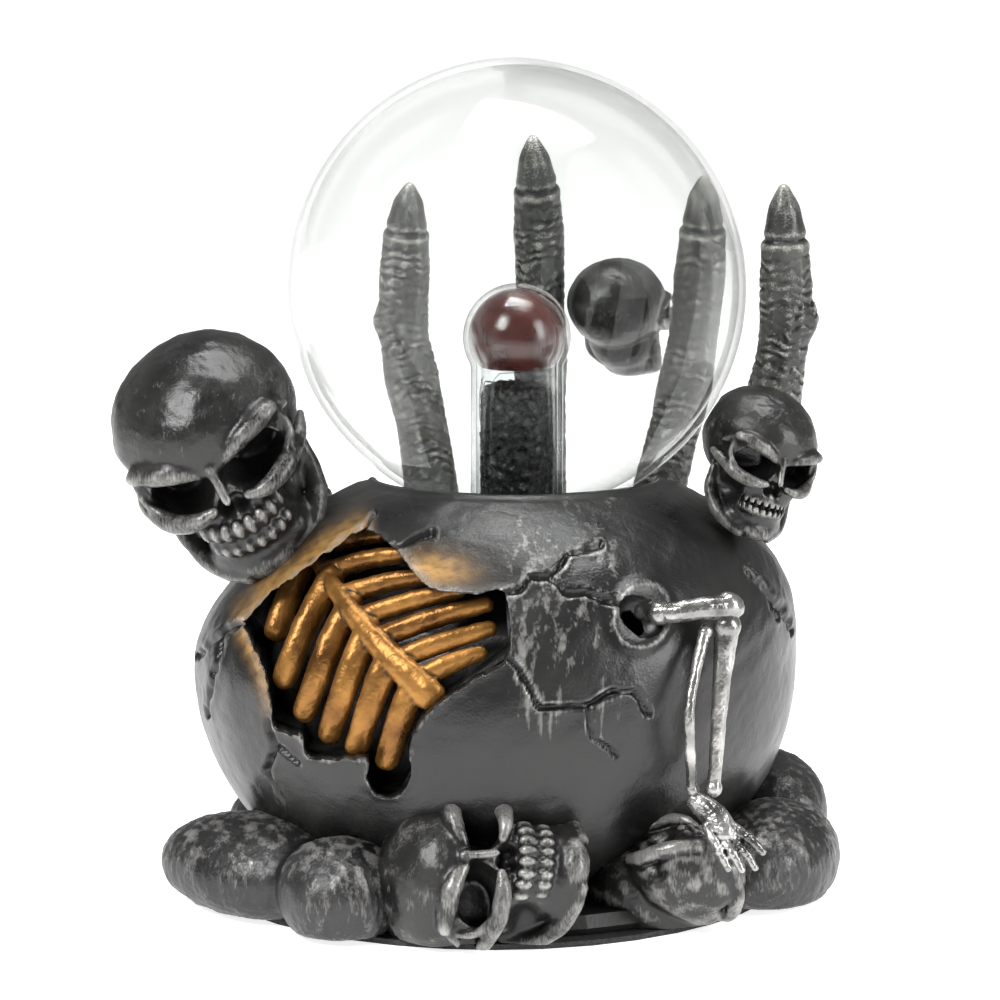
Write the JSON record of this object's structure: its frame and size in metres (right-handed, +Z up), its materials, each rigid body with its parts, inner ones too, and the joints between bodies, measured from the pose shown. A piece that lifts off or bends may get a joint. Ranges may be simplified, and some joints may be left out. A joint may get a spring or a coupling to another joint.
{
  "type": "plasma ball",
  "caption": "Plasma ball lamp: a glass globe with an inner electrode on a cracked hollow cauldron, ringed by claw fingers and skulls, with a rear mode switch.",
  "frame": {"origin": "centre of the flat underside of the foam pad, on the cauldron's axis", "axes": "+Z up along the globe's height, front with the broken window and the arm towards -Y, +X to the right seen from the front"},
  "size_m": [0.1582, 0.1438, 0.1802],
  "materials": {
    "resin": "cast resin, charcoal with silver dry brushing, semi-gloss",
    "claw_resin": "cast resin, wrinkled, silver dry brushing",
    "bone_resin": "cast resin painted bright silver, worn",
    "gold_ribs": "cast resin painted antique gold, dark in the grooves",
    "clear_glass": "clear blown glass",
    "tinted_coating": "red-brown conductive coating inside the glass ball",
    "wool": "dark steel wool",
    "gasket_rubber": "soft black rubber",
    "foam": "thin black foam sheet",
    "black_plastic": "moulded black plastic, fine grain",
    "board": "green solder mask",
    "ferrite": "sintered dark grey ferrite",
    "winding_tape": "yellow polyester tape",
    "steel": "zinc-plated steel",
    "knob_plastic": "moulded black plastic",
    "aluminium": "mill-finish aluminium",
    "capacitor_sleeve": "dark shrink sleeve",
    "red_insulation": "silicone insulation",
    "black_insulation": "PVC insulation"
  },
  "bodies": {
    "lamp": {"pot_shell": "resin", "rib_tray": "resin", "plinth": "resin", "big_skull": "resin", "small_skull": "resin", "back_skull": "resin", "lying_skull": "resin", "half_buried_skull": "resin", "boulder_front_left": "resin", "boulder_right": "resin", "boulder_rear_right": "resin", "boulder_rear_left": "resin", "boulder_back_left": "resin", "boulder_back_right": "resin", "finger_left": "claw_resin", "finger_middle": "claw_resin", "finger_right": "claw_resin", "finger_outer": "claw_resin", "thumb": "claw_resin", "upper_arm_bone": "bone_resin", "forearm_bone": "bone_resin", "slim_arm_bone": "bone_resin", "hand_bones": "bone_resin", "ribcage": "gold_ribs", "globe": "clear_glass", "stem_tube": "clear_glass", "ball_coating": "tinted_coating", "electrode_wool": "wool", "neck_seal": "gasket_rubber", "foam_pad": "foam", "electrode_cap": "black_plastic", "bottom_cover": "black_plastic", "rear_panel": "black_plastic", "dc_jack": "black_plastic", "switch_body": "black_plastic", "transistor": "black_plastic", "circuit_board": "board", "transformer_core": "ferrite", "transformer_winding": "winding_tape", "cover_screw_1": "steel", "cover_screw_2": "steel", "cover_screw_3": "steel", "cover_screw_4": "steel", "board_screw_1": "steel", "board_screw_2": "steel", "board_screw_3": "steel", "board_screw_4": "steel", "panel_screw_1": "steel", "panel_screw_2": "steel", "heat_sink": "aluminium", "microphone": "aluminium", "capacitor": "capacitor_sleeve", "hv_lead": "red_insulation", "inlet_lead": "red_insulation", "switch_lead": "black_insulation"},
    "switch_slider": {"switch_slider": "knob_plastic"}
  },
  "joints": [
    {"name": "mode_switch", "type": "slide", "parent": "lamp", "child": "switch_slider", "axis": [1, 0, 0], "range_m": [-0.002, 0.002]}
  ]
}
